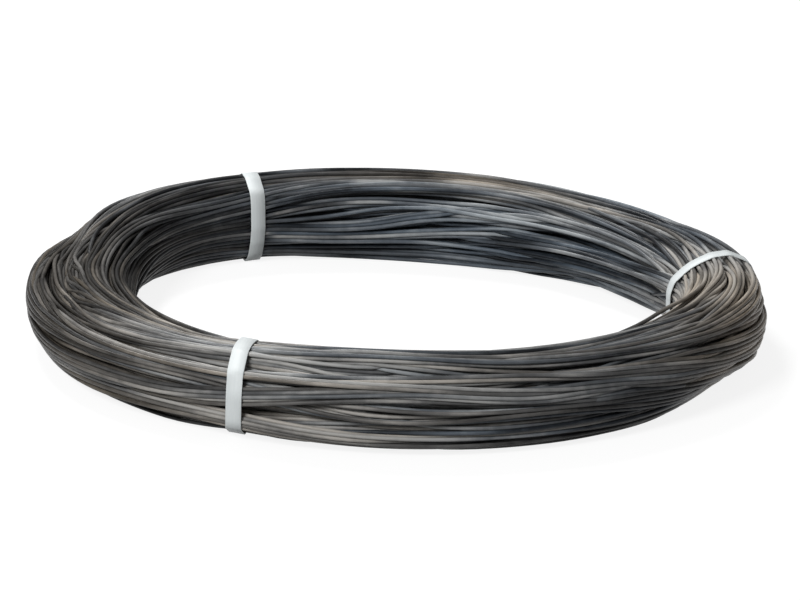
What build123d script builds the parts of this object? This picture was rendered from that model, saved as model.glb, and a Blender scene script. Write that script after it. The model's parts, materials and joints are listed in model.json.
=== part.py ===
"""Coil of black annealed wire: a ring of many turns that lies flat, tied by three plastic straps.

Millimetres, +Z up. The origin is on the floor, on the axis of the coil.
The turns are one turned ring. Its outline is scalloped into lays, the bands of turns that lie side by side.
Each strap is a closed band, pulled into the bundle, with its heat-sealed lap on the inside, underneath.
"""

import os
from math import cos, pi, radians, sin

from build123d import *

# The bundle of turns
bore_diameter = 390.0
bundle_width = 75.0  # from the bore to the outside, measured along the radius
coil_height = 60.0
rest_width = 14.0  # flat that the coil lies on, measured along the radius
bore_land = 8.0  # straight part of the bore, left by the former that the wire was wound on

# The wire and its lays
wire_diameter = 3.0
turns_per_lay = 4
lay_crown = 0.8  # how far a lay stands out of the valleys beside it
shoulder_share = 0.28  # where a lay's crown begins, from its valley, as a share of its width

# The straps
strap_width = 12.0
strap_thickness = 0.8
strap_lap = 30.0  # length over which the two ends are sealed together
strap_recess = 0.3  # how far a strap's outside lies below the lays, so that it clears the floor and the bore
strap_clearance = 0.2  # between a strap and its seat in the bundle, on the inside and at both edges
strap_azimuths = {"strap_right": 11.0, "strap_back": 119.0, "strap_front": 243.5}  # degrees from +X

cut_overrun = 5.0  # how far a cutting shape reaches past what it cuts

# Sizes that follow from those above
section_radius = (bore_diameter + bundle_width) / 2
section_centre = (section_radius, coil_height / 2)
corner_reach = (bundle_width - rest_width) / 2
corner_rise = (coil_height - bore_land) / 2
corner_length = pi / 4 * (corner_reach + corner_rise)
corner_lays = max(1, round(corner_length / (wire_diameter * turns_per_lay)))
strap_inside = strap_recess + strap_thickness
seat_inset = strap_inside + strap_clearance

# The corners of the section, from the bottom one on the outside: side along the radius, side in height
CORNERS = ((1, -1), (1, 1), (-1, 1), (-1, -1))
QUARTER = 90.0


def corner_centre(corner):
    """Centre of the quarter ellipse that rounds a corner of the section, as (radius, height)."""
    side, level = CORNERS[corner]
    return (section_centre[0] + side * rest_width / 2, section_centre[1] + level * bore_land / 2)


def corner_point(corner, share, inset=0.0):
    """Point a share of the way round a corner, set in from the outside of the bundle."""
    angle = radians(QUARTER * (corner - 1 + share))
    radius, height = corner_centre(corner)
    return (radius + (corner_reach - inset) * cos(angle), height + (corner_rise - inset) * sin(angle))


def around_corner(corner):
    """Stretch of the outline round a corner: a function of the share of the way and of the inset."""
    return lambda share, inset: corner_point(corner, share, inset)


def across_flat(corner):
    """Stretch of the outline across the flat between a corner and the next."""

    def place(share, inset):
        ends = zip(corner_point(corner, 1, inset), corner_point(corner + 1, 0, inset))
        return tuple(first + share * (last - first) for first, last in ends)

    return place


def lays(stretch, count):
    """Points of the lays along a stretch: for each a valley, and then the two shoulders of its crown."""
    places = ((0, lay_crown), (shoulder_share, 0), (1 - shoulder_share, 0))
    return [stretch((k + share) / count, inset) for k in range(count) for share, inset in places]


def coil_profile():
    """Section of the ring: lays all round, but for the flat underneath and the straight part of the bore.

    Beside those two, a lay has no valley and its crown runs straight out to their ends.
    """
    corners = [lays(around_corner(corner), corner_lays) for corner in range(len(CORNERS))]
    points = [corner_point(0, 0)] + corners[0][2:]
    points += lays(across_flat(0), 1) + corners[1]
    points += lays(across_flat(1), 1) + corners[2][:-1]
    points += [corner_point(2, 1), corner_point(3, 0)] + corners[3][2:-1]
    points += [corner_point(3, 1)]
    return make_face(Polyline(*points, close=True))


def taut_outline(inset):
    """What a taut strap follows: straight spans from lay to lay, set in from the outside of the bundle."""
    shares = [k / corner_lays for k in range(corner_lays + 1)]
    points = [corner_point(corner, share, inset) for corner in range(len(CORNERS)) for share in shares]
    return make_face(Polyline(*points, close=True))


def lap_window(length):
    """Everything in the lower half of the section that is within this length of the flat's middle."""
    return Pos(section_radius, 0) * Rectangle(length, coil_height)


def sealed_lap(outside, thickness, length):
    """Second layer under the coil, where the two ends of a strap lie on each other."""
    layer = taut_outline(outside) - taut_outline(outside + thickness)
    return layer & lap_window(length)


def across(sketch, width):
    """A section made solid, half its width to each side of the plane through the axis and +X."""
    return extrude(Plane.XZ * sketch, width / 2, both=True)


def strap():
    """Closed band in the plane through the axis and +X."""
    band = taut_outline(strap_recess) - taut_outline(strap_inside)
    return across(band + sealed_lap(strap_inside, strap_thickness, strap_lap), strap_width)


def strap_seat():
    """What a strap presses out of the bundle: a band with room for the strap and its lap."""
    margin = 2 * cut_overrun
    around = Pos(*section_centre) * Rectangle(bundle_width + margin, coil_height + margin)
    lap_length = strap_lap + 2 * strap_clearance
    band = around - taut_outline(seat_inset) + sealed_lap(seat_inset, strap_thickness, lap_length)
    return across(band, strap_width + 2 * strap_clearance)


def wire_coil():
    """The turned ring of all the turns, pressed in under the straps."""
    ring = revolve(Plane.XZ * coil_profile(), Axis.Z)
    seat = strap_seat()
    for azimuth in strap_azimuths.values():
        ring -= Rot(Z=azimuth) * seat
    return ring


def main():
    os.makedirs("parts", exist_ok=True)
    export_step(wire_coil(), "parts/wire_coil.step")
    band = strap()
    for name, azimuth in strap_azimuths.items():
        export_step(Rot(Z=azimuth) * band, f"parts/{name}.step")


main()
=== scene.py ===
import json
import math

import bpy
import numpy as np
from mathutils import Matrix, Vector


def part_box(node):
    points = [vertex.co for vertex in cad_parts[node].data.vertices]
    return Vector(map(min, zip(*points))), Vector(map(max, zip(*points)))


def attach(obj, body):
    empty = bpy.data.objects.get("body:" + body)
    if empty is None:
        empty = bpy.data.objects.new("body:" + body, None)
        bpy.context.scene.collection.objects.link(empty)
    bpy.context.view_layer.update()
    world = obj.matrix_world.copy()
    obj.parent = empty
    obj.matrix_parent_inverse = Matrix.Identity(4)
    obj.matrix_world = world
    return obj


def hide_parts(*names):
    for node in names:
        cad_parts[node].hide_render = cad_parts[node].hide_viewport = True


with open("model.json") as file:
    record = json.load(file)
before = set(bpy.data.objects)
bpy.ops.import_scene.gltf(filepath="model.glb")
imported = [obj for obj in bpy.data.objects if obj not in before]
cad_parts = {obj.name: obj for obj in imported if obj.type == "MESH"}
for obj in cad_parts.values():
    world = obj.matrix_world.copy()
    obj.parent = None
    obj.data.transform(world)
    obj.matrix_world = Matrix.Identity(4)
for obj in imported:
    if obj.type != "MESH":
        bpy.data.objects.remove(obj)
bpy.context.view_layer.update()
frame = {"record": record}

MM = 0.001
TAU = 2 * math.pi

# Sizes of the ring, from the frame
coil_low, coil_high = (Vector(corner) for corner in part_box("wire_coil"))
outer_radius = (coil_high.x - coil_low.x) / 2
coil_height = coil_high.z - coil_low.z
bore_mount = next(mount for mount in frame["record"]["mounts"] if mount["name"] == "bore")
bore_radius = bore_mount["dims"]["r_mm"] * MM
half_width = (outer_radius - bore_radius) / 2
half_height = coil_height / 2
section_middle = np.array((bore_radius + half_width, half_height))

# The wire: turns lie together in groups, and the groups fill the section in rings
wire_diameter = 3.0 * MM
wire_radius = wire_diameter / 2
wire_sides = 8
wire_pieces = 4
stations = 144  # points along one turn
group_turns = 9
ring_groups = (1, 5, 11, 17)  # from the middle of the section out
group_count = sum(ring_groups)
turn_count = group_count * group_turns

# The straps
strap_width = 12.0 * MM
strap_thickness = 0.8 * MM
strap_edge = 0.25 * MM
strap_lap = 30.0 * MM
strap_slack = 0.05 * MM  # between a strap and the wires, and between the layers of its lap
strap_lift = 2.1 * MM  # wire is held this far off the floor, so that a strap and its lap pass under it
strap_lift_spread = 5.5  # degrees to each side over which the wire is let down again
strap_lift_hold = 1.2  # more than 1, so that the lift is full over the whole width of a strap
strap_points = 160  # along one strap
strap_smoothings = 2
strap_cuts = (-1.15, -0.6, 0.0, 0.6, 1.15)  # where the wires under a strap are looked at, in half widths
# How far each strap leans from the middle of the section outwards, in degrees
strap_leans = {"strap_right": 0.5, "strap_back": -2.7, "strap_front": 2.8}


def strap_azimuth(name):
    """Azimuth at which a strap of the frame lies."""
    low, high = (Vector(corner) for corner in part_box(name))
    middle = (low + high) / 2
    return math.atan2(middle.y, middle.x)


strap_azimuths = {name: strap_azimuth(name) for name in strap_leans}

# One turn ends and the next begins here, under a strap
seam_azimuth = strap_azimuths["strap_back"]
station_shares = np.arange(stations) / stations
station_azimuths = seam_azimuth + station_shares * TAU

rng = np.random.default_rng(20)
front_rng = np.random.default_rng(7)  # for the splits at the front alone
tiny = 1e-9  # keeps a division from failing


def smooth_step(share):
    """Smooth way from 0 to 1."""
    share = np.clip(share, 0.0, 1.0)
    return share * share * (3 - 2 * share)


def around(angle):
    """Angle brought to the range from minus half a turn to half a turn."""
    return (angle + math.pi) % TAU - math.pi


def bump(angle, centre_deg, width_deg):
    """Bell over an angle: 1 at its centre, near 0 two widths away."""
    return np.exp(-((around(angle - math.radians(centre_deg)) / math.radians(width_deg)) ** 2))


# How far the bundle reaches past its plain section at each eighth of the way round, from +X
outward_shares = (0.00, 0.14, -0.06, -0.05, -0.25, 0.11, 0.02, -0.24)
inward_shares = (-0.24, 0.25, 0.24, -0.46, 0.28, 0.16, 0.04, 0.02)
upward_shares = (0.25, -0.03, 0.17, 0.22, -0.36, -0.14, 0.30, 0.09)
section_power = 2.7  # 2 is an ellipse, more is squarer
pinch_share = 0.05  # how much a strap draws the bundle in
pinch_spread = 7.0

# The lay of turns at the left end that has come away from the rest, in degrees and metres
lay_way, lay_spread = 8.0, 28.0  # direction in the section
lay_start, lay_end = 152.0, 242.0  # azimuths
lay_parting, lay_closing = 18.0, 46.0  # lengths over which it comes away and comes back
lay_shift = 6.5 * MM
lay_depth = 13.0 * MM  # it begins this far out from the middle of the section
lay_edge = 3.0 * MM  # depth over which it begins
notch_way, notch_spread = 56.0, 18.0
notch_depth = 9.0 * MM  # how far the rest stands back above it

# Forms at one place of the bundle, in millimetres and degrees:
# (change in reach, direction in the section, width, azimuth, width)
local_forms = (
    (-6.5, 36.0, 22.0, 160.0, 10.0),  # the loose lay begins lower
    (-10.0, -42.0, 28.0, 335.0, 13.0),  # the bend at the right end stands off the floor outside
    (-4.5, 112.0, 30.0, 341.0, 13.0),  # it lies lower beside the bore
    (-7.8, 120.0, 32.0, 10.0, 13.0),  # under the strap it slopes down to the bore
    (3.0, 62.0, 28.0, 26.0, 11.0),  # behind the strap it is crowned
    (2.5, -55.0, 25.0, 243.0, 12.0),  # turns spread on the floor beside the front strap
    (3.5, -140.0, 24.0, 76.0, 30.0),  # turns spread on the floor inside, at the back
)

# The whole bundle is turned about its middle: quickly at the right end, and slowly back round the rest
twist_start = math.radians(8.0)
twist_run = math.radians(60.0)
twist_full = math.radians(46.0)


def lay_window(azimuth):
    """1 along the loose lay, and 0 where it lies with the other turns."""
    place = np.degrees(azimuth) % 360
    return smooth_step((place - lay_start) / lay_parting) * smooth_step((lay_end - place) / lay_closing)


def share_at(shares, azimuth):
    """Value at an azimuth of shares that are spaced evenly round the ring."""
    table = np.array(shares)
    place = azimuth % TAU / TAU * len(table)
    start = np.floor(place).astype(int) % len(table)
    mix = smooth_step(place % 1)
    return table[start] * (1 - mix) + table[(start + 1) % len(table)] * mix


def outline(direction, azimuth):
    """Distance from the middle of the section to the outside of the bundle."""
    across, up = np.cos(direction), np.sin(direction)
    outward, inward = share_at(outward_shares, azimuth), share_at(inward_shares, azimuth)
    width = half_width * (1 + np.where(across > 0, outward, inward))
    height = half_height * (1 + np.where(up > 0, share_at(upward_shares, azimuth), 0))
    reach = (np.abs(across) / width) ** section_power + (np.abs(up) / height) ** section_power
    radius = reach ** (-1 / section_power)
    lay = lay_shift * bump(direction, lay_way, lay_spread)
    notch = notch_depth * bump(direction, notch_way, notch_spread)
    radius = radius + (lay - notch) * lay_window(azimuth)
    for change_mm, way, way_width, place, place_width in local_forms:
        change = change_mm * MM * bump(direction, way, way_width)
        radius = radius + change * bump(azimuth, place, place_width)
    for strap in strap_azimuths.values():
        radius = radius * (1 - pinch_share * bump(azimuth, math.degrees(strap), pinch_spread))
    return radius


def floor_height(azimuth):
    """Lowest that the middle of a wire may lie."""
    lift = sum(bump(azimuth, math.degrees(strap), strap_lift_spread) for strap in strap_azimuths.values())
    return wire_radius + strap_lift * np.minimum(strap_lift_hold * lift, 1)


def bundle_twist(azimuth):
    """How far the whole bundle is turned about its middle."""
    run = (twist_start - azimuth) % TAU
    there = smooth_step(run / twist_run)
    back = 1 - smooth_step((run - twist_run) / (TAU - twist_run))
    return twist_full * np.where(run < twist_run, there, back)


# Groups of turns: their places in a section scaled to a unit disc
ring_inset = 0.06  # how far the groups lie inside their rings, in widths of a ring
rim_ring = len(ring_groups) - 0.56  # ring that would lie on the outline
slot_shift_share = 0.18  # most that a group lies beside its place, as a share of the way to the next
slot_reach_shares = (0.91, 1.04)

# Pairs of groups trade places, at shares of a turn
move_tries = 1400
move_starts, move_lengths = (0.0, 0.9), (0.09, 0.24)
move_reach = 0.42  # in the unit disc
move_rest = 0.02  # between two moves of one group
last_move_end = 0.99
quiet_from, quiet_until = 0.03, 0.30  # the turns run side by side here

# How turns lie in their group, and wander
first_neighbours = 6  # turns that fit round one
group_pitch = 1.04  # from turn to turn, in wire diameters
group_roll = 0.9  # how far a group turns about its own middle, in radians
group_stretch = 0.24
group_waves = 3
turn_wander = 0.5 * MM
turn_waves = 6

# Single turns that leave their group, in stations
stray_starts = (40, stations - 20)
stray_lengths = (12, 34)
stray_end = stations - 2
stray_gap = 2 * wire_diameter  # least way that one goes

join_reach = 2.2 * wire_diameter  # between turns that may run into each other's next turns

# Splits in the outside of the bundle
split_depth_share = 0.55  # of the way out, where they begin
split_fade_share = 0.3  # of the way out, over which they grow to their full width
split_reach = 0.4  # radians to each side

# How the turns are pushed apart
relax_rounds = 110
pair_rounds = 5  # neighbours are looked for again after this many
push_rounds = 3
pair_reach = 1.5 * wire_diameter
push_strength, keep_strength, straight_strength = 0.7, 0.5, 0.5
hold_strength, hold_fade = 0.12, 0.75  # what draws turns to their places, and how much of it goes
bend_place, bend_spread = 332.0, 32.0  # at the bend the turns are held less, and fill the hollows outside
bend_ease = 0.6
left_place, left_spread = 168.0, 30.0  # where the loose lay parts, they are held more
left_grip = 1.4
hollow_reach = 0.2  # radians to each side
hollow_limits = (0.9, 1.3)
least_weight = 0.02


def group_slots():
    """Places of the groups in a section scaled to a unit disc."""
    slots = []
    for ring, count in enumerate(ring_groups):
        share = 0.0 if ring == 0 else (ring - ring_inset) / rim_ring
        start = rng.uniform(0, TAU)
        for k in range(count):
            direction = start + (k + rng.uniform(-slot_shift_share, slot_shift_share)) / count * TAU
            reach = share * rng.uniform(*slot_reach_shares)
            slots.append((reach * math.cos(direction), reach * math.sin(direction)))
    return np.array(slots)


def group_moves(places):
    """Pairs of neighbouring groups trade places, here and there round the ring.

    Returns a list for each group of (start, end, slot it goes to, way round), in shares of a turn.
    """
    holder = np.arange(group_count)
    free_from = np.zeros(group_count)
    moves = [[] for _ in range(group_count)]
    for start in np.sort(rng.uniform(*move_starts, move_tries)):
        end = start + rng.uniform(*move_lengths)
        first = rng.integers(group_count)
        gap = np.linalg.norm(places - places[first], axis=1)
        near = np.flatnonzero((gap > 0) & (gap < move_reach) & (free_from <= start))
        quiet = start < quiet_until and end > quiet_from
        if quiet or end > last_move_end or free_from[first] > start or len(near) == 0:
            continue
        second = rng.choice(near)
        way = rng.choice((-1, 1))
        moves[holder[first]].append((start, end, second, way))
        moves[holder[second]].append((start, end, first, way))
        holder[[first, second]] = holder[[second, first]]
        free_from[[first, second]] = end + move_rest
    return moves


def rotated(points, angle):
    """Points of a plane turned about its origin."""
    x, y = points[..., 0], points[..., 1]
    return np.stack([np.cos(angle) * x - np.sin(angle) * y, np.sin(angle) * x + np.cos(angle) * y], axis=-1)


def group_paths():
    """Way of each group round the ring, in the unit disc, and the slot where it ends."""
    places = group_slots()
    paths = np.empty((group_count, stations, 2))
    last_slot = np.arange(group_count)
    for group, moves in enumerate(group_moves(places)):
        path = np.repeat(places[group][None], stations, axis=0)
        for start, end, goal, way in moves:
            here = places[last_slot[group]]
            middle = (here + places[goal]) / 2
            turn = way * math.pi * smooth_step((station_shares - start) / (end - start))
            swung = middle + rotated(np.repeat((here - middle)[None], stations, axis=0), turn)
            path = np.where((station_shares >= start)[:, None], swung, path)
            last_slot[group] = goal
        paths[group] = rotated(path, bundle_twist(station_azimuths))
    return paths, last_slot


def to_section(unit):
    """Places in the unit disc, one column a station, as (radius, height) in the bundle."""
    direction = np.arctan2(unit[..., 1], unit[..., 0])
    reach = outline(direction, station_azimuths) * np.linalg.norm(unit, axis=-1)
    return section_middle + reach[..., None] * np.stack([np.cos(direction), np.sin(direction)], axis=-1)


def group_offsets():
    """Places of the turns of a group about its middle: one turn, those round it, and some further out."""
    rest = group_turns - 1 - first_neighbours
    inner = [(k * TAU / first_neighbours, 1.0) for k in range(first_neighbours)]
    outer = [((2 * k + 0.5) * TAU / first_neighbours, math.sqrt(3)) for k in range(rest)]
    places = [(size * math.cos(angle), size * math.sin(angle)) for angle, size in inner + outer]
    return np.array([(0.0, 0.0)] + places) * group_pitch * wire_diameter


def slow_noise(count, waves):
    """Smooth noise round the ring, one row each, that comes back to where it began."""
    total = np.zeros((count, stations))
    for wave in range(1, waves + 1):
        size = rng.normal(0, 1, (count, 1)) / math.sqrt(waves)
        total += size * np.sin(wave * station_shares * TAU + rng.uniform(0, TAU, (count, 1)))
    return total


def part_lay(points):
    """Move the turns of the loose lay out, away from the rest, and spread them."""
    way = np.array((math.cos(math.radians(lay_way)), math.sin(math.radians(lay_way))))
    past = (points - section_middle) @ way - lay_depth
    shift = lay_shift * smooth_step(past / lay_edge + 0.5) * lay_window(station_azimuths)
    points += shift[..., None] * way


def open_splits(points, draw, count, places, widths, pushes):
    """Long narrow gaps in the outside of the bundle, where neighbouring turns have parted.

    Places and widths are ranges in degrees round the ring, and pushes is a range of how far turns move.
    Draw is the generator that the splits are drawn from.
    """
    out = points - section_middle
    direction = np.arctan2(out[..., 1], out[..., 0])
    depth = np.linalg.norm(out, axis=-1) / outline(direction, station_azimuths)
    shallow = smooth_step((depth - split_depth_share) / split_fade_share)
    for _ in range(count):
        along = bump(station_azimuths, draw.uniform(*places), draw.uniform(*widths))
        away = around(direction - draw.uniform(0, TAU))
        fade = np.exp(-((away / split_reach) ** 2))
        push = draw.uniform(*pushes) * along * shallow * np.sign(away) * fade
        points[..., 0] -= push * np.sin(direction)
        points[..., 1] += push * np.cos(direction)


def turn_targets():
    """Where each turn would lie if the turns had no thickness, and which turn each one runs into."""
    paths, last_slot = group_paths()
    centres = to_section(paths)
    part_lay(centres)
    offsets = group_offsets()
    lean = rng.uniform(0, TAU, group_count)
    targets = np.empty((group_count, group_turns, stations, 2))
    for group, goal in enumerate(last_slot):
        roll = group_roll * slow_noise(1, group_waves)[0] * np.sin(math.pi * station_shares)
        change = around(lean[goal] - lean[group]) * smooth_step(station_shares)
        twist = lean[group] + change + roll + bundle_twist(station_azimuths)
        stretch = np.exp(group_stretch * slow_noise(1, group_waves)[0])
        squeezed = np.stack([offsets[:, None, 0] * stretch, offsets[:, None, 1] / stretch], axis=-1)
        targets[group] = centres[group] + rotated(squeezed, twist)
    following = (last_slot[:, None] * group_turns + np.arange(group_turns)).reshape(-1)
    targets = targets.reshape(turn_count, stations, 2)
    wander = [slow_noise(turn_count, turn_waves), slow_noise(turn_count, turn_waves)]
    targets += turn_wander * np.stack(wander, axis=-1)
    return targets, following


def stray_turns(targets, following, count, reach):
    """Single turns that leave their group for another, each in trade for one that comes the other way."""
    for _ in range(count):
        start = int(rng.integers(*stray_starts))
        end = min(start + int(rng.integers(*stray_lengths)), stray_end)
        a = int(rng.integers(turn_count))
        gap = np.linalg.norm(targets[:, end] - targets[a, end], axis=1)
        b = int(rng.choice(np.flatnonzero((gap > stray_gap) & (gap < reach))))
        mix = smooth_step((np.arange(stations) - start) / (end - start))[:, None]
        path_a, path_b = targets[a].copy(), targets[b].copy()
        targets[a] = path_a * (1 - mix) + path_b * mix
        targets[b] = path_b * (1 - mix) + path_a * mix
        following[[a, b]] = following[[b, a]]


def run_labels(following):
    """Number of the closed run of turns that each turn belongs to."""
    label = np.full(turn_count, -1)
    for first in range(turn_count):
        turn = first
        while label[turn] < 0:
            label[turn] = first
            turn = following[turn]
    return label


def turns_before(following):
    """The turn that runs into each turn."""
    leading = np.empty(turn_count, int)
    leading[following] = np.arange(turn_count)
    return leading


def join_runs(targets, following):
    """Let turns that start side by side change places, so that all of them are one length of wire."""
    label = run_labels(following)
    leading = turns_before(following)
    gap = np.linalg.norm(targets[:, None, 0] - targets[None, :, 0], axis=-1)
    for a, b in np.argwhere(np.triu(gap < join_reach, 1)):
        if label[a] != label[b]:
            following[leading[[a, b]]] = b, a
            leading[[a, b]] = leading[[b, a]]
            label[label == label[b]] = label[a]


def near_pairs(points, reach):
    """Pairs of points, at the same station, that lie within reach of each other."""
    firsts, seconds = [], []
    for station in range(stations):
        at = points[:, station].astype(np.float32)
        gap = (at[:, None, 0] - at[None, :, 0]) ** 2 + (at[:, None, 1] - at[None, :, 1]) ** 2
        a, b = np.nonzero(np.triu(gap < reach * reach, 1))
        firsts.append(a * stations + station)
        seconds.append(b * stations + station)
    return np.concatenate(firsts), np.concatenate(seconds)


def push_apart(points, first, second, strength):
    """Move the two of each pair apart where they run into each other."""
    flat = points.reshape(-1, 2)
    gap = flat[second] - flat[first]
    distance = np.maximum(np.linalg.norm(gap, axis=1), tiny)
    overlap = np.maximum(wire_diameter - distance, 0)
    move = gap * (strength * 0.5 * overlap / distance)[:, None]
    for axis in (0, 1):
        forward = np.bincount(second, move[:, axis], len(flat))
        flat[:, axis] += forward - np.bincount(first, move[:, axis], len(flat))


def keep_inside(points, strength):
    """Draw turns back that stand out of the bundle, and lift those that are under the floor."""
    out = points - section_middle
    direction = np.arctan2(out[..., 1], out[..., 0])
    distance = np.linalg.norm(out, axis=-1)
    excess = np.maximum(distance - outline(direction, station_azimuths) + wire_radius, 0)
    points -= out * (strength * excess / np.maximum(distance, tiny))[..., None]
    points[..., 1] = np.maximum(points[..., 1], floor_height(station_azimuths))


def straighten(points, following, leading, strength):
    """Move each point towards the middle of the two beside it on the wire."""
    ahead = np.concatenate([points[:, 1:], points[following, :1]], axis=1)
    behind = np.concatenate([points[leading, -1:], points[:, :-1]], axis=1)
    points += strength * ((ahead + behind) / 2 - points)


def fill_hollows(points, weight):
    """Spread the turns outside into the hollows between them: the outside is even where weight is 1."""
    out = points - section_middle
    direction = np.arctan2(out[..., 1], out[..., 0])
    depth = np.linalg.norm(out, axis=-1) / (outline(direction, station_azimuths) - wire_radius)
    growth = np.zeros(depth.shape)
    for station in np.flatnonzero(weight > least_weight):
        apart = around(direction[:, None, station] - direction[None, :, station])
        reach = (np.exp(-((apart / hollow_reach) ** 2)) * depth[None, :, station]).max(axis=1)
        growth[:, station] = np.clip(1 / reach, *hollow_limits) - 1
    return points + out * (weight * growth)[..., None]


def relax(targets, following):
    """Give the turns their thickness: they push each other apart, stay stiff, and stay in the bundle."""
    points = targets.copy()
    leading = turns_before(following)
    bend = bump(station_azimuths, bend_place, bend_spread)
    grip = 1 - bend_ease * bend + left_grip * bump(station_azimuths, left_place, left_spread)
    hold = hold_strength * grip[:, None]
    for k in range(relax_rounds):
        if k in (relax_rounds // 2, 3 * relax_rounds // 4):
            points = fill_hollows(points, bend)
            targets = targets + bend[:, None] * (points - targets)
        if k % pair_rounds == 0:
            first, second = near_pairs(points, pair_reach)
        points += hold * (1 - hold_fade * smooth_step(k / relax_rounds)) * (targets - points)
        straighten(points, following, leading, straight_strength)
        for _ in range(push_rounds):
            push_apart(points, first, second, push_strength)
        keep_inside(points, keep_strength)
    straighten(points, following, leading, straight_strength)
    points[..., 1] = np.maximum(points[..., 1], floor_height(station_azimuths))
    return points


def free_turn(turns, place_deg, spread_deg, inward, upward):
    """One turn stands off the edge of the bore."""
    station = np.argmin(np.abs(around(station_azimuths - math.radians(place_deg))))
    edge_slope = 0.35  # the edge is highest above a line that rises outwards by this much
    edge = np.argmax(turns[:, station, 1] - edge_slope * turns[:, station, 0])
    lift = bump(station_azimuths, place_deg, spread_deg)
    turns[edge, :, 0] -= inward * lift
    turns[edge, :, 1] += upward * lift


def wire_order(following):
    """Turns in the order in which the wire runs through them."""
    order = [0]
    while following[order[-1]] != 0:
        order.append(int(following[order[-1]]))
    return order


def wind_coil():
    """Section points of every turn, in the order of the wire: (radius, height) at each station."""
    targets, following = turn_targets()
    stray_turns(targets, following, count=200, reach=22 * MM)
    open_splits(targets, rng, count=110, places=(0, 360), widths=(9, 24), pushes=(1.2 * MM, 3.4 * MM))
    open_splits(targets, rng, count=12, places=(148, 196), widths=(12, 22), pushes=(3.0 * MM, 5.0 * MM))
    open_splits(targets, front_rng, count=24, places=(246, 318), widths=(5, 12),
                pushes=(2.5 * MM, 4.5 * MM))
    join_runs(targets, following)
    turns = relax(targets, following)
    free_turn(turns, place_deg=338.0, spread_deg=10.0, inward=4.5 * MM, upward=2.8 * MM)
    return turns[wire_order(following)]


def new_object(name, mesh, material):
    """Object of a mesh, in the scene."""
    mesh.materials.append(material)
    piece = bpy.data.objects.new(name, mesh)
    bpy.context.scene.collection.objects.link(piece)
    return piece


def mesh_from_arrays(name, places, quads, caps):
    """Smooth mesh from an array of points, an array of quads and a few larger faces."""
    mesh = bpy.data.meshes.new(name)
    corners = np.concatenate([quads.reshape(-1)] + [np.asarray(cap) for cap in caps])
    sizes = np.concatenate([np.full(len(quads), 4), [len(cap) for cap in caps]]).astype(np.int32)
    mesh.vertices.add(len(places))
    mesh.vertices.foreach_set("co", places.reshape(-1).astype(np.float32))
    mesh.loops.add(len(corners))
    mesh.loops.foreach_set("vertex_index", corners.astype(np.int32))
    mesh.polygons.add(len(sizes))
    mesh.polygons.foreach_set("loop_start", (np.cumsum(sizes) - sizes).astype(np.int32))
    mesh.polygons.foreach_set("use_smooth", np.ones(len(sizes), bool))
    mesh.update()
    mesh.validate()
    return mesh


def add_values(mesh, values, each):
    """Values along a tube as attributes, each one given to that many points."""
    for key, value in values.items():
        attribute = mesh.attributes.new(key, "FLOAT", "POINT")
        attribute.data.foreach_set("value", np.repeat(value, each).astype(np.float32))


def add_vectors(mesh, key, domain, *columns):
    """Three columns of numbers as one attribute of vectors."""
    attribute = mesh.attributes.new(key, "FLOAT_VECTOR", domain)
    attribute.data.foreach_set("vector", np.stack(columns, axis=-1).reshape(-1).astype(np.float32))


def tube_quads(length, sides):
    """Quads between the rings of points of an open tube."""
    start = np.arange(length - 1)[:, None] * sides
    side = np.arange(sides)
    after = (side + 1) % sides
    rows = [start + side, start + after, start + sides + after, start + sides + side]
    return np.stack(rows, axis=-1).reshape(-1, 4)


def wire_mesh(name, path, azimuths, values):
    """Tube along section points, each at its own azimuth, with values along it as attributes."""
    ring = np.arange(wire_sides) / wire_sides * TAU
    radius = path[:, None, 0] + wire_radius * np.cos(ring)
    height = path[:, None, 1] + wire_radius * np.sin(ring)
    east, north = np.cos(azimuths)[:, None], np.sin(azimuths)[:, None]
    places = np.stack([radius * east, radius * north, height], axis=-1)
    first = np.arange(wire_sides)
    last = first + (len(path) - 1) * wire_sides
    quads = tube_quads(len(path), wire_sides)
    mesh = mesh_from_arrays(name, places.reshape(-1, 3), quads, caps=(first[::-1], last))
    add_values(mesh, values, wire_sides)
    steps = np.linalg.norm(np.diff(places.mean(axis=1), axis=0), axis=1)
    along = np.repeat(np.concatenate([[0], np.cumsum(steps)]), wire_sides)
    sides = np.tile(wire_radius * np.stack([np.cos(ring), np.sin(ring)]), len(path))
    add_vectors(mesh, "straightened", "POINT", along, *sides)
    return mesh


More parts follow.
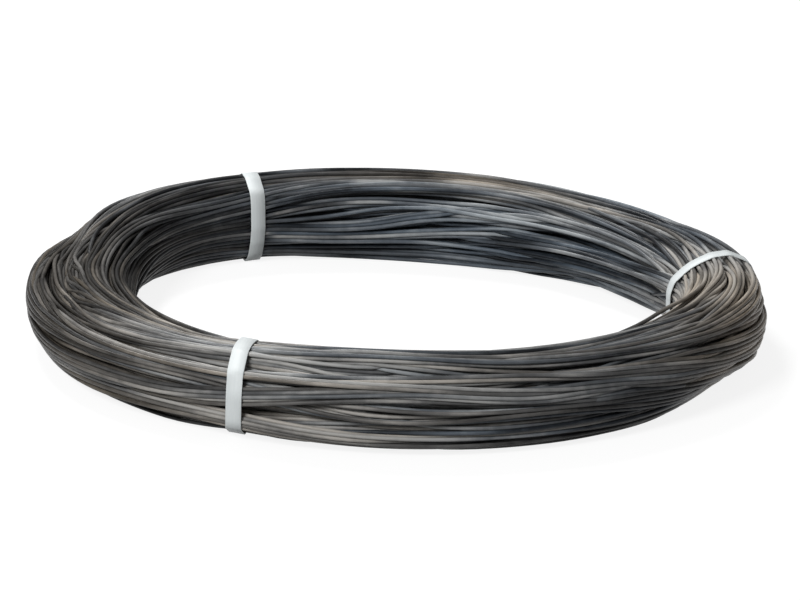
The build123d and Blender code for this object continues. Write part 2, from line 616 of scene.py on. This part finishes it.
def wire_material():
    """Black annealed steel: satin scale, from slate grey to light grey, and browner where it has rubbed.
    The grey follows the tone attribute, which holds painted light and shade as well as the scale's own
    random tone.
    """
    material = bpy.data.materials.new("black_annealed_wire")
    material.use_nodes = True
    nodes, links = material.node_tree.nodes, material.node_tree.links
    shader = nodes["Principled BSDF"]

    # The tone attribute: a random tone of the scale, with painted light and shade by place
    tone_and_painted_light = nodes.new("ShaderNodeAttribute")
    tone_and_painted_light.attribute_name = "tone_and_painted_light"
    warmth = nodes.new("ShaderNodeAttribute")
    warmth.attribute_name = "warmth"

    place = nodes.new("ShaderNodeTexCoord")
    mottle = nodes.new("ShaderNodeTexNoise")
    mottle.inputs["Scale"].default_value = 140.0
    mottle.inputs["Detail"].default_value = 4.0
    links.new(place.outputs["Object"], mottle.inputs["Vector"])
    speck = nodes.new("ShaderNodeTexNoise")
    speck.inputs["Scale"].default_value = 1400.0
    speck.inputs["Detail"].default_value = 3.0
    links.new(place.outputs["Object"], speck.inputs["Vector"])

    straightened = nodes.new("ShaderNodeAttribute")
    straightened.attribute_name = "straightened"
    drawn = nodes.new("ShaderNodeMapping")
    drawn.inputs["Scale"].default_value = (0.05, 1.0, 1.0)
    links.new(straightened.outputs["Vector"], drawn.inputs["Vector"])
    streak = nodes.new("ShaderNodeTexNoise")
    streak.inputs["Scale"].default_value = 900.0
    streak.inputs["Detail"].default_value = 3.0
    links.new(drawn.outputs["Vector"], streak.inputs["Vector"])

    shade = tone_and_painted_light.outputs["Fac"]
    for texture, weight in ((mottle, 0.35), (streak, 0.45), (speck, 0.2)):
        added = nodes.new("ShaderNodeMath")
        added.operation = "MULTIPLY_ADD"
        added.inputs[1].default_value = weight
        links.new(texture.outputs["Fac"], added.inputs[0])
        links.new(shade, added.inputs[2])
        shade = added.outputs[0]
    spread = nodes.new("ShaderNodeMapRange")
    spread.inputs["From Min"].default_value = 0.5
    spread.inputs["From Max"].default_value = 1.5
    links.new(shade, spread.inputs["Value"])

    def ramp(*colours):
        node = nodes.new("ShaderNodeValToRGB")
        node.color_ramp.elements.new(0.55)
        for element, colour in zip(node.color_ramp.elements, colours):
            element.color = (*colour, 1)
        links.new(spread.outputs["Result"], node.inputs["Fac"])
        return node

    cool = ramp((0.016, 0.020, 0.026), (0.111, 0.138, 0.170), (0.37, 0.41, 0.44))
    warm = ramp((0.026, 0.022, 0.017), (0.181, 0.153, 0.119), (0.47, 0.41, 0.34))
    colour = nodes.new("ShaderNodeMix")
    colour.data_type = "RGBA"
    links.new(warmth.outputs["Fac"], colour.inputs["Factor"])
    links.new(cool.outputs["Color"], colour.inputs["A"])
    links.new(warm.outputs["Color"], colour.inputs["B"])
    links.new(colour.outputs["Result"], shader.inputs["Base Color"])

    gloss = nodes.new("ShaderNodeMapRange")
    gloss.inputs["To Min"].default_value = 0.26
    gloss.inputs["To Max"].default_value = 0.50
    links.new(streak.outputs["Fac"], gloss.inputs["Value"])
    links.new(gloss.outputs["Result"], shader.inputs["Roughness"])
    shader.inputs["Specular IOR Level"].default_value = 0.17

    relief = nodes.new("ShaderNodeBump")
    relief.inputs["Strength"].default_value = 0.25
    relief.inputs["Distance"].default_value = 0.1 * MM
    links.new(speck.outputs["Fac"], relief.inputs["Height"])
    links.new(relief.outputs["Normal"], shader.inputs["Normal"])
    return material


# Painted light and shade on the wire: lighter where light falls and darker where shade falls, by azimuth;
# and where it is browner or bluer: (azimuth, width, change), in degrees
painted_light_places = (
    (358.0, 17.0, 0.48),
    (48.0, 18.0, 0.04),
    (104.0, 14.0, -0.10),
    (140.0, 30.0, -0.06),
    (190.0, 26.0, -0.45),
    (255.0, 40.0, 0.26),
    (314.0, 18.0, -0.12),
)
warmth_places = ((350.0, 22.0, 0.55), (72.0, 52.0, -0.38), (190.0, 45.0, 0.38))
# Painted light and shade on one side of the bundle: painted shade in the bore and low on the outside, and
# painted highlights along the top; and where it is browner or bluer: (direction in the section, width,
# azimuth, width, change)
painted_light_sides = (
    (180.0, 72.0, 142.0, 30.0, -0.60),
    (85.0, 40.0, 70.0, 14.0, 0.20),
    (95.0, 48.0, 34.0, 14.0, -0.32),
    (160.0, 18.0, 66.0, 14.0, 0.25),
    (192.0, 20.0, 60.0, 13.0, -0.40),
    (-35.0, 32.0, 311.0, 17.0, -0.50),
    (0.0, 40.0, 358.0, 20.0, -0.18),
)
warmth_sides = (
    (95.0, 36.0, 74.0, 38.0, 0.85),
    (-50.0, 40.0, 225.0, 30.0, 0.2),
    (0.0, 50.0, 350.0, 24.0, 0.2),
)


def scale_and_painted_light_values(turns, level, spread, wander, waves, places, sides):
    """A value from 0 to 1 at each point of the wire: by turn, along each turn, and by place on the coil;
    for the tone, the changes by place are painted light and shade.
    """
    out = turns - section_middle
    direction = np.arctan2(out[..., 1], out[..., 0])
    value = rng.normal(level, spread, (turn_count, 1)) + wander * slow_noise(turn_count, waves)
    change = sum(rise * bump(station_azimuths, middle, width) for middle, width, rise in places)
    for way, way_width, middle, width, rise in sides:
        change = change + rise * bump(direction, way, way_width) * bump(station_azimuths, middle, width)
    return np.clip(value + change, 0, 1).reshape(-1)


def make_wire(turns):
    """The whole wire, in a few lengths that follow each other."""
    material = wire_material()
    path = turns.reshape(-1, 2)
    azimuths = np.tile(station_azimuths, turn_count)
    values = {
        # The tone holds painted light and shade by place as well as the scale's random tone
        "tone_and_painted_light": scale_and_painted_light_values(turns, level=0.48, spread=0.20, wander=0.22, waves=24,
                             places=painted_light_places, sides=painted_light_sides),
        "warmth": scale_and_painted_light_values(turns, level=0.42, spread=0.09, wander=0.09, waves=4,
                               places=warmth_places, sides=warmth_sides),
    }
    length = math.ceil(turn_count / wire_pieces) * stations
    for piece in range(wire_pieces):
        part = slice(piece * length, min((piece + 1) * length + 1, len(path)))
        name = f"wire_turns_{piece + 1}"
        here = {key: value[part] for key, value in values.items()}
        wire = new_object(name, wire_mesh(name, path[part], azimuths[part], here), material)
        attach(wire, "root")
        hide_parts("wire_coil")


def hull(points):
    """Corners of the convex hull of points in a plane, counter-clockwise."""
    ordered = sorted(map(tuple, points))

    def chain(run):
        kept = []
        for x, y in run:
            while len(kept) > 1:
                (ax, ay), (bx, by) = kept[-2:]
                if (bx - ax) * (y - ay) - (by - ay) * (x - ax) > 0:
                    break
                kept.pop()
            kept.append((x, y))
        return kept[:-1]

    return np.array(chain(ordered) + chain(ordered[::-1]))


def even_loop(corners, count):
    """Points evenly spaced along a closed outline."""
    closed = np.concatenate([corners, corners[:1]])
    lengths = np.concatenate([[0], np.cumsum(np.linalg.norm(np.diff(closed, axis=0), axis=1))])
    at = np.arange(count) / count * lengths[-1]
    return np.stack([np.interp(at, lengths, closed[:, axis]) for axis in (0, 1)], axis=1)


def turns_at(turns, azimuths):
    """Section point of each turn at an azimuth of its own."""
    place = ((azimuths - seam_azimuth) % TAU) / TAU * stations
    low = np.floor(place).astype(int) % stations
    share = (place - np.floor(place))[:, None]
    flat = np.concatenate([turns.reshape(-1, 2), turns[-1:, -1]])
    start = np.arange(turn_count) * stations + low
    return flat[start] * (1 - share) + flat[start + 1] * share


def lean_azimuth(points, azimuth, lean):
    """Azimuth of a leaning strap at points of the section."""
    return azimuth + math.radians(lean) * (points[:, 0] - section_middle[0]) / half_width


def strap_outline(turns, azimuth, lean):
    """What a taut strap follows: the hull of the wires that it passes over, and of its lap underneath."""
    half_angle = math.asin(strap_width / 2 / section_middle[0])
    disc_points = 16
    ring = np.arange(disc_points) / disc_points * TAU
    disc = np.stack([np.cos(ring), np.sin(ring)], axis=1)
    found = []
    for cut in strap_cuts:
        here = azimuth + cut * half_angle
        at = turns_at(turns, np.full(turn_count, here))
        at = turns_at(turns, lean_azimuth(at, here, lean))
        over_lap = (at[:, 1] < section_middle[1]) & (np.abs(at[:, 0] - section_middle[0]) < strap_lap / 2)
        size = wire_radius + strap_slack + np.where(over_lap, strap_thickness + strap_slack, 0)
        found.append((at[:, None] + size[:, None, None] * disc).reshape(-1, 2))
    return hull(np.concatenate(found))


def band_profile(base):
    """Section of the strap: (across, up from the wires), with eased edges."""
    half = strap_width / 2
    top = base + strap_thickness
    eased = half - strap_edge
    right = [(eased, base), (half, base + strap_edge), (half, top - strap_edge), (eased, top)]
    left = [(-across, level) for across, level in reversed(right)]
    return np.array(right + left)


def strap_band(points, azimuth, lean, base):
    """Points of a band along section points, one row of its profile at each."""
    turn = lean_azimuth(points, azimuth, lean)
    outwards = np.stack([np.cos(turn), np.sin(turn), np.zeros(len(turn))], axis=1)
    places = points[:, :1] * outwards + points[:, 1:] * np.array((0, 0, 1))
    along = np.gradient(np.concatenate([places[-1:], places, places[:1]]), axis=0)[1:-1]
    along /= np.linalg.norm(along, axis=1)[:, None]
    flat = np.gradient(np.concatenate([points[-1:], points, points[:1]]), axis=0)[1:-1]
    flat /= np.linalg.norm(flat, axis=1)[:, None]
    away = flat[:, 1:] * outwards - flat[:, :1] * np.array((0, 0, 1))
    across = np.cross(along, away)
    across /= np.linalg.norm(across, axis=1)[:, None]
    profile = band_profile(base)
    return places[:, None] + profile[:, :1] * across[:, None] + profile[:, 1:] * away[:, None]


def strap_mesh(name, corners, azimuth, lean):
    """Closed band round an outline, and the second layer of its lap, underneath."""
    loop = even_loop(corners, strap_points)
    for _ in range(strap_smoothings):
        loop = (np.roll(loop, 1, axis=0) + 2 * loop + np.roll(loop, -1, axis=0)) / 4
    rows = strap_band(loop, azimuth, lean, 0.0)
    sides = rows.shape[1]
    under = (loop[:, 1] < section_middle[1]) & (np.abs(loop[:, 0] - section_middle[0]) < strap_lap / 2)
    order = np.flatnonzero(under)
    order = order[np.argsort(loop[order, 0])]
    lap = strap_band(loop, azimuth, lean, -strap_thickness - strap_slack)[order]
    lap_start = strap_points * sides
    lap_last = lap_start + (len(order) - 1) * sides
    band, tab = tube_quads(strap_points + 1, sides), tube_quads(len(order), sides)
    quads = np.concatenate([band % lap_start, tab + lap_start])
    caps = (np.arange(sides)[::-1] + lap_start, np.arange(sides) + lap_last)
    places = np.concatenate([rows.reshape(-1, 3), lap.reshape(-1, 3)])
    mesh = mesh_from_arrays(name, places, quads, caps)
    ends = np.repeat(order[[0, -1]], sides)
    row = np.concatenate([(band // sides).reshape(-1), order[tab // sides].reshape(-1), ends])
    side = np.concatenate([band.reshape(-1), tab.reshape(-1), *caps]) % sides
    step = np.linalg.norm(np.diff(loop, axis=0), axis=1).mean()
    add_vectors(mesh, "unrolled", "CORNER", row * step, band_profile(0.0)[side, 0], 0.0 * row)
    return mesh


def strap_material():
    """White polypropylene strapping, drawn lengthwise and embossed with fine diamonds."""
    material = bpy.data.materials.new("white_strapping")
    material.use_nodes = True
    nodes, links = material.node_tree.nodes, material.node_tree.links
    shader = nodes["Principled BSDF"]
    unrolled = nodes.new("ShaderNodeAttribute")
    unrolled.attribute_name = "unrolled"

    def scaled(scale):
        node = nodes.new("ShaderNodeMapping")
        node.inputs["Scale"].default_value = scale
        links.new(unrolled.outputs["Vector"], node.inputs["Vector"])
        return node.outputs["Vector"]

    streak = nodes.new("ShaderNodeTexNoise")
    streak.inputs["Scale"].default_value = 600.0
    streak.inputs["Detail"].default_value = 3.0
    links.new(scaled((0.08, 1.0, 1.0)), streak.inputs["Vector"])
    tint = nodes.new("ShaderNodeValToRGB")
    tint.color_ramp.elements[0].color = (0.70, 0.75, 0.76, 1)
    tint.color_ramp.elements[1].color = (0.84, 0.88, 0.88, 1)
    links.new(streak.outputs["Fac"], tint.inputs["Fac"])
    links.new(tint.outputs["Color"], shader.inputs["Base Color"])
    gloss = nodes.new("ShaderNodeMapRange")
    gloss.inputs["To Min"].default_value = 0.45
    gloss.inputs["To Max"].default_value = 0.62
    links.new(streak.outputs["Fac"], gloss.inputs["Value"])
    links.new(gloss.outputs["Result"], shader.inputs["Roughness"])

    emboss = nodes.new("ShaderNodeMath")
    emboss.operation = "MULTIPLY"
    for slot, way in enumerate((1.0, -1.0)):
        wave = nodes.new("ShaderNodeTexWave")
        wave.bands_direction = "DIAGONAL"
        wave.inputs["Scale"].default_value = 160.0
        links.new(scaled((1.0, way, 1.0)), wave.inputs["Vector"])
        links.new(wave.outputs["Fac"], emboss.inputs[slot])
    relief = nodes.new("ShaderNodeBump")
    relief.inputs["Strength"].default_value = 0.35
    relief.inputs["Distance"].default_value = 0.1 * MM
    links.new(emboss.outputs[0], relief.inputs["Height"])
    links.new(relief.outputs["Normal"], shader.inputs["Normal"])
    return material


def make_straps(turns):
    """The three straps, pulled round the wires."""
    material = strap_material()
    for name, azimuth in strap_azimuths.items():
        lean = strap_leans[name]
        mesh = strap_mesh(name, strap_outline(turns, azimuth, lean), azimuth, lean)
        strap = new_object(f"{name}_band", mesh, material)
        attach(strap, "root")
        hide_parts(name)


# Camera: the photograph's view
view_elevation = math.radians(17.13)
view_roll = math.radians(-2.31)
view_distance = 18 * outer_radius
image_width, image_height = 800, 600
ring_middle_px = (394.2, 342.85)
radius_px = 372.1


def make_camera():
    """Camera far off, with a long lens, as the photograph has little perspective."""
    data = bpy.data.cameras.new("camera")
    data.sensor_width = 36
    data.lens = radius_px * view_distance / outer_radius / image_width * data.sensor_width
    camera = bpy.data.objects.new("camera", data)
    bpy.context.scene.collection.objects.link(camera)
    bpy.context.scene.camera = camera
    forward = Vector((0, math.cos(view_elevation), -math.sin(view_elevation)))
    roll = Matrix.Rotation(view_roll, 3, forward)
    right = roll @ Vector((1, 0, 0))
    up = right.cross(forward)
    pixel = outer_radius / radius_px
    shift_right = image_width / 2 - ring_middle_px[0]
    shift_up = ring_middle_px[1] - image_height / 2
    aim = pixel * (right * shift_right + up * shift_up)
    rotation = Matrix((right, up, -forward)).transposed().to_4x4()
    camera.matrix_world = Matrix.Translation(aim - forward * view_distance) @ rotation


# The floor: it looks white to the camera, and gives the object little light
floor_reach = 8.0
floor_shade = 0.24
floor_glow = 0.86


def seen_ray(nodes, links):
    """1 for rays from the camera, straight or by way of gloss or glass, and 0 for light on the object."""
    path = nodes.new("ShaderNodeLightPath")
    total = path.outputs["Is Camera Ray"]
    for name in ("Is Glossy Ray", "Is Transmission Ray"):
        joined = nodes.new("ShaderNodeMath")
        joined.operation = "MAXIMUM"
        links.new(total, joined.inputs[0])
        links.new(path.outputs[name], joined.inputs[1])
        total = joined.outputs[0]
    return total


def make_floor():
    """White floor that keeps a soft shadow."""
    corners = np.array(((-1, -1, 0), (1, -1, 0), (1, 1, 0), (-1, 1, 0))) * floor_reach
    mesh = bpy.data.meshes.new("floor")
    mesh.from_pydata(corners.tolist(), [], [(0, 1, 2, 3)])
    material = bpy.data.materials.new("floor")
    material.use_nodes = True
    nodes, links = material.node_tree.nodes, material.node_tree.links
    shader = nodes["Principled BSDF"]
    shader.inputs["Base Color"].default_value = (floor_shade, floor_shade, floor_shade, 1)
    shader.inputs["Roughness"].default_value = 1.0
    shader.inputs["Specular IOR Level"].default_value = 0.0
    shader.inputs["Emission Color"].default_value = (1, 1, 1, 1)
    glow = nodes.new("ShaderNodeMath")
    glow.operation = "MULTIPLY"
    glow.inputs[1].default_value = floor_glow
    links.new(seen_ray(nodes, links), glow.inputs[0])
    links.new(glow.outputs[0], shader.inputs["Emission Strength"])
    new_object("floor", mesh, material)


def area_light(name, place, size, power):
    """Soft lamp that points at the origin."""
    data = bpy.data.lights.new(name, "AREA")
    data.size = size
    data.energy = power
    lamp = bpy.data.objects.new(name, data)
    lamp.location = place
    lamp.rotation_euler = (-Vector(place)).to_track_quat("-Z", "Y").to_euler()
    bpy.context.scene.collection.objects.link(lamp)


def make_light():
    """Even light all round, a key lamp from the front on the left, and a lamp above the back."""
    world = bpy.data.worlds.new("studio")
    bpy.context.scene.world = world
    world.use_nodes = True
    background = world.node_tree.nodes["Background"]
    background.inputs["Color"].default_value = (1, 1, 1, 1)
    background.inputs["Strength"].default_value = 0.20
    area_light("key", place=(-1.76, -2.96, 2.24), size=1.12, power=100)
    area_light("top", place=(-0.7, 1.3, 1.9), size=0.7, power=37)


turns = wind_coil()
make_wire(turns)
make_straps(turns)
make_floor()
make_light()
make_camera()
bpy.context.scene.view_settings.view_transform = "Standard"
